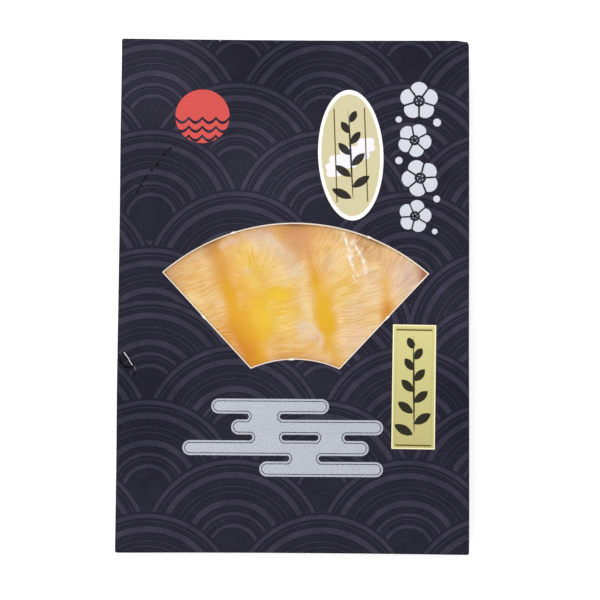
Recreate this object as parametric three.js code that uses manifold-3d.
// Seasoned herring roe in its retail pack: a flat folding carton with a fan-shaped window,
// a clear vacuum pouch of roe inside it, and two paper labels stuck to the front panel.
//
// Units are millimetres and +Z is up. The pack lies on its back panel: X runs across it,
// +Y points to its top edge, and the origin is the middle of the back panel, on Z = 0.

import * as THREE from 'three';
import { mergeVertices } from 'three/addons/utils/BufferGeometryUtils.js';
import Module from 'manifold-3d';

const wasm = await Module();
wasm.setup();

// ---------------------------------------------------------------- driving dimensions

const CARTON = {
	width: 124,
	length: 182,
	height: 19.5, // at the folds, where the front panel is lowest
	crown: 0.5, // how far the pouch pushes the middle of the front panel out
	board: 0.6, // thickness of the printed board
	fold: 0.8 // outer radius of a creased and folded edge
};

// The die-cut fan: two straight sides between an upper and a lower arch.
const FAN = {
	centreX: 0.65,
	shoulder: { y: 7.4, half: 46.7, rise: 17.5 },
	foot: { y: - 26.3, half: 15.4, rise: 3.3 }
};

// Each end is shut by a panel hinged on the front and tucked in behind the back panel.
const CLOSURE = {
	inset: 0.9, // how far the closing panel stops short of each side
	seam: 0.35 // gap between its tuck fold and the back panel's cut edge
};

// The glued joint: one side panel's cut edge runs along the back panel.
const GLUED_JOINT = { gap: 0.3, depth: 0.35 };

const POUCH = {
	width: 118,
	length: 168,
	film: 0.4, // the two films sealed together around the rim
	clearance: 0.15, // to the inside of the carton
	freeSpread: 1.06, // how much wider the film makes a sac on its free side
	bridgeSpread: 1.45, // the same towards a neighbour, where it spans the valley
	bridgePower: 6, // of the blend that joins the bulges
	pressPower: 40 // of the blend that flattens them under the front panel
};

// The roe sacs that shape the pouch, from left to right. The middle line of a sac runs
// through x at Y = -5 and turns by lean and bend; reach is half its length.
const SACS = [
	{ x: - 34.5, lean: - 0.38, bend: 0.0023, half: 14.4, y: - 4, reach: 50, rise: 18.7 },
	{ x: - 4.5, lean: - 0.27, bend: - 0.0015, half: 16.2, y: - 5, reach: 54, rise: 19.1 },
	{ x: 22, lean: - 0.22, bend: 0, half: 12.8, y: - 6, reach: 52, rise: 18.7 },
	{ x: 45, lean: - 0.1, bend: 0, half: 12.6, y: - 2, reach: 51, rise: 18.6 }
];
const SAC_LINE_Y = - 5;
const SAC_LEAN = - 0.25; // of the four together

const LABEL = {
	thickness: 0.15,
	gap: 0.1 // film of adhesive under the paper
};
const OVAL_LABEL = { x: 19.6, y: 49.9, width: 23.8, length: 47.3, lean: 2.2 };
const STRIP_LABEL = { x: 42.5, y: - 32.25, width: 16, length: 44, lean: - 0.6, corner: 0.8 };

// ---------------------------------------------------------------- resolution

const FOLD_STEPS = 2; // facets on each half of a rounded fold
const PANEL_CELLS = { x: 12, y: 16 };
const POUCH_CELLS = { x: 32, y: 36 };
const ARC_SEGMENTS = 28;
const CORNER_SEGMENTS = 4;

// ---------------------------------------------------------------- helpers

function toSolid( geometry ) {

	const bare = geometry.clone();
	bare.deleteAttribute( 'normal' );
	bare.deleteAttribute( 'uv' );
	const merged = mergeVertices( bare );
	return new wasm.Manifold( new wasm.Mesh( {
		numProp: 3,
		vertProperties: merged.attributes.position.array,
		triVerts: Uint32Array.from( merged.index.array )
	} ) );

}

function toGeometry( solid ) {

	const mesh = solid.getMesh();
	const geometry = new THREE.BufferGeometry();
	geometry.setAttribute( 'position', new THREE.BufferAttribute( mesh.vertProperties, 3 ) );
	geometry.setIndex( new THREE.BufferAttribute( mesh.triVerts, 1 ) );
	geometry.computeVertexNormals();
	return geometry;

}

// Moves every vertex of a geometry by a function that changes the point it is given.
function reshape( geometry, move ) {

	const position = geometry.attributes.position;
	const point = new THREE.Vector3();
	for ( let i = 0; i < position.count; i ++ ) {

		move( point.fromBufferAttribute( position, i ) );
		position.setXYZ( i, point.x, point.y, point.z );

	}

	geometry.computeVertexNormals();
	return geometry;

}

function boxAt( width, length, height, x, y, z ) {

	return new THREE.BoxGeometry( width, length, height ).translate( x, y, z );

}

// How far the front panel stands above its folds at a point of the panel.
function crownAt( x, y ) {

	const across = 1 - ( 2 * x / CARTON.width ) ** 2;
	const along = 1 - ( 2 * y / CARTON.length ) ** 2;
	return CARTON.crown * Math.max( across, 0 ) * Math.max( along, 0 );

}

// ---------------------------------------------------------------- carton

// Grid lines across one side of a box: close together at both folds, even in between.
function gridLines( half, cells ) {

	const flat = half - CARTON.fold;
	const lines = [];
	for ( let i = 0; i <= cells; i ++ ) lines.push( flat * ( 2 * i / cells - 1 ) );
	for ( let i = 1; i <= FOLD_STEPS; i ++ ) {

		const reach = flat + CARTON.fold * Math.tan( i / FOLD_STEPS * Math.PI / 4 );
		lines.push( reach );
		lines.unshift( - reach );

	}

	return lines;

}

// The outside of the shut carton: a box with rounded folds and a crowned front panel.
function cartonOutside() {

	const across = gridLines( CARTON.width / 2, PANEL_CELLS.x );
	const along = gridLines( CARTON.length / 2, PANEL_CELLS.y );
	const upward = gridLines( CARTON.height / 2, 1 );
	const core = new THREE.Vector3( CARTON.width, CARTON.length, CARTON.height )
		.multiplyScalar( 0.5 ).subScalar( CARTON.fold );
	const nearest = new THREE.Vector3();
	const pick = ( lines, share ) => lines[ Math.round( ( share + 0.5 ) * ( lines.length - 1 ) ) ];
	const box = new THREE.BoxGeometry( 1, 1, 1, across.length - 1, along.length - 1, upward.length - 1 );
	return reshape( box, ( point ) => {

		point.set( pick( across, point.x ), pick( along, point.y ), pick( upward, point.z ) );
		nearest.copy( point ).clamp( core.clone().negate(), core );
		point.sub( nearest ).setLength( CARTON.fold ).add( nearest );
		if ( point.z > 0 ) point.z += crownAt( point.x, point.y );
		point.z += CARTON.height / 2;

	} );

}

// The space inside: one board from the panels, and two boards from each folded end.
function cartonInside() {

	const { width, length, height, board } = CARTON;
	const space = new THREE.BoxGeometry(
		width - 2 * board, length - 4 * board, height - 2 * board, PANEL_CELLS.x, PANEL_CELLS.y, 1
	);
	return reshape( space, ( point ) => {

		if ( point.z > 0 ) point.z += crownAt( point.x, point.y );
		point.z += height / 2;

	} );

}

// Adds an arch to an outline, over a level chord, running right or left.
function addArch( outline, { y, half, rise }, toTheRight ) {

	const radius = ( half ** 2 + rise ** 2 ) / ( 2 * rise );
	const lean = Math.asin( half / radius );
	const start = Math.PI / 2 + ( toTheRight ? lean : - lean );
	const end = Math.PI / 2 - ( toTheRight ? lean : - lean );
	outline.absarc( FAN.centreX, y + rise - radius, radius, start, end, toTheRight );

}

function windowCutter() {

	const outline = new THREE.Shape();
	addArch( outline, FAN.foot, true );
	addArch( outline, FAN.shoulder, false );
	outline.closePath();
	const depth = 4 * CARTON.board + CARTON.crown;
	const prism = new THREE.ExtrudeGeometry( outline, {
		depth, bevelEnabled: false, curveSegments: ARC_SEGMENTS
	} );
	return prism.translate( 0, 0, CARTON.height - 2 * CARTON.board );

}

// At one end (+1 or -1 along Y): a step down to the dust flaps beside the closing panel,
// and the seam between its tuck fold and the back panel.
function closureCutters( end ) {

	const { width, length, height, board, fold } = CARTON;
	const { inset, seam } = CLOSURE;
	const cutters = [];
	for ( const side of [ - 1, 1 ] ) {

		const stepHeight = height - fold - board;
		cutters.push( boxAt( 2 * inset, 2 * board, stepHeight,
			side * width / 2, end * length / 2, board + stepHeight / 2 ) );

	}

	cutters.push( boxAt( width - 2 * inset, 2 * board, seam,
		0, end * length / 2, board + seam / 2 ) );
	return cutters;

}

function jointCutter() {

	const { width, length, board, fold } = CARTON;
	const x = width / 2 - fold - board - GLUED_JOINT.gap / 2;
	return boxAt( GLUED_JOINT.gap, length - 4 * fold, 2 * GLUED_JOINT.depth, x, 0, 0 );

}

function carton() {

	const cutters = [
		cartonInside(), windowCutter(), ...closureCutters( 1 ), ...closureCutters( - 1 ), jointCutter()
	];
	let solid = toSolid( cartonOutside() );
	for ( const cutter of cutters ) solid = solid.subtract( toSolid( cutter ) );
	const material = new THREE.MeshStandardMaterial( { color: 0x26242f, roughness: 0.55 } );
	return named( 'carton', toGeometry( solid ), material );

}

// ---------------------------------------------------------------- pouch

// Height of the film over one sac at a point, above the pouch floor.
function bulgeAt( sac, x, y ) {

	const fromLine = y - SAC_LINE_Y;
	const middle = sac.x + sac.lean * fromLine + sac.bend * fromLine ** 2;
	const across = ( x - middle ) / sac.half;
	const isFree = across < 0 ? sac === SACS[ 0 ] : sac === SACS[ SACS.length - 1 ];
	const spread = isFree ? POUCH.freeSpread : POUCH.bridgeSpread;
	const along = Math.abs( y - sac.y ) / sac.reach;
	const roundOff = 1 - Math.abs( across / spread ) ** 3 - along ** 8;
	return sac.rise * Math.sqrt( Math.max( 0, roundOff ) );

}

// The film drawn down over all the sacs, and pressed flat by the front panel.
function filmAt( x, y ) {

	const { film, clearance, bridgePower, pressPower } = POUCH;
	let sum = 0;
	for ( const sac of SACS ) sum += bulgeAt( sac, x, y ) ** bridgePower;
	const free = Math.max( sum ** ( 1 / bridgePower ), film );
	const underPanel = CARTON.height + crownAt( x, y ) - 2 * ( CARTON.board + clearance );
	return ( free ** - pressPower + underPanel ** - pressPower ) ** ( - 1 / pressPower );

}

// The facets lean with the sacs, so that their edges follow the valleys.
function pouch() {

	const floor = CARTON.board + POUCH.clearance;
	const slab = new THREE.BoxGeometry( POUCH.width, POUCH.length, 1, POUCH_CELLS.x, POUCH_CELLS.y, 1 );
	const geometry = reshape( slab, ( point ) => {

		const fromRim = 1 - ( 2 * point.x / POUCH.width ) ** 2;
		point.x += SAC_LEAN * ( point.y - SAC_LINE_Y ) * fromRim;
		point.z = floor + ( point.z > 0 ? filmAt( point.x, point.y ) : 0 );

	} );
	const material = new THREE.MeshStandardMaterial( { color: 0xf0bd5a, roughness: 0.25 } );
	return named( 'pouch', geometry, material );

}

// ---------------------------------------------------------------- labels

// Lays a flat outline on the crowned front panel, turned about its own middle.
function stuckOn( name, outline, segments, { x, y, lean }, colour ) {

	const sheet = new THREE.ExtrudeGeometry( outline, {
		depth: LABEL.thickness, bevelEnabled: false, curveSegments: segments
	} );
	sheet.rotateZ( THREE.MathUtils.degToRad( lean ) ).translate( x, y, CARTON.height + LABEL.gap );
	reshape( sheet, ( point ) => {

		point.z += crownAt( point.x, point.y );

	} );
	const material = new THREE.MeshStandardMaterial( { color: colour, roughness: 0.45 } );
	return named( name, sheet, material );

}

function ovalLabel() {

	const outline = new THREE.Shape();
	outline.absellipse( 0, 0, OVAL_LABEL.width / 2, OVAL_LABEL.length / 2, 0, 2 * Math.PI, false, 0 );
	return stuckOn( 'label_oval', outline, ARC_SEGMENTS, OVAL_LABEL, 0xd9cf8a );

}

function stripLabel() {

	const { width, length, corner } = STRIP_LABEL;
	const x = width / 2 - corner;
	const y = length / 2 - corner;
	const outline = new THREE.Shape();
	outline.absarc( x, y, corner, 0, Math.PI / 2, false );
	outline.absarc( - x, y, corner, Math.PI / 2, Math.PI, false );
	outline.absarc( - x, - y, corner, Math.PI, 1.5 * Math.PI, false );
	outline.absarc( x, - y, corner, 1.5 * Math.PI, 2 * Math.PI, false );
	return stuckOn( 'label_strip', outline, CORNER_SEGMENTS, STRIP_LABEL, 0xd6c878 );

}

// ---------------------------------------------------------------- the pack

function named( name, geometry, material ) {

	const mesh = new THREE.Mesh( geometry, material );
	mesh.name = name;
	return mesh;

}

const pack = new THREE.Group();
pack.add( carton(), pouch(), ovalLabel(), stripLabel() );

export default pack;
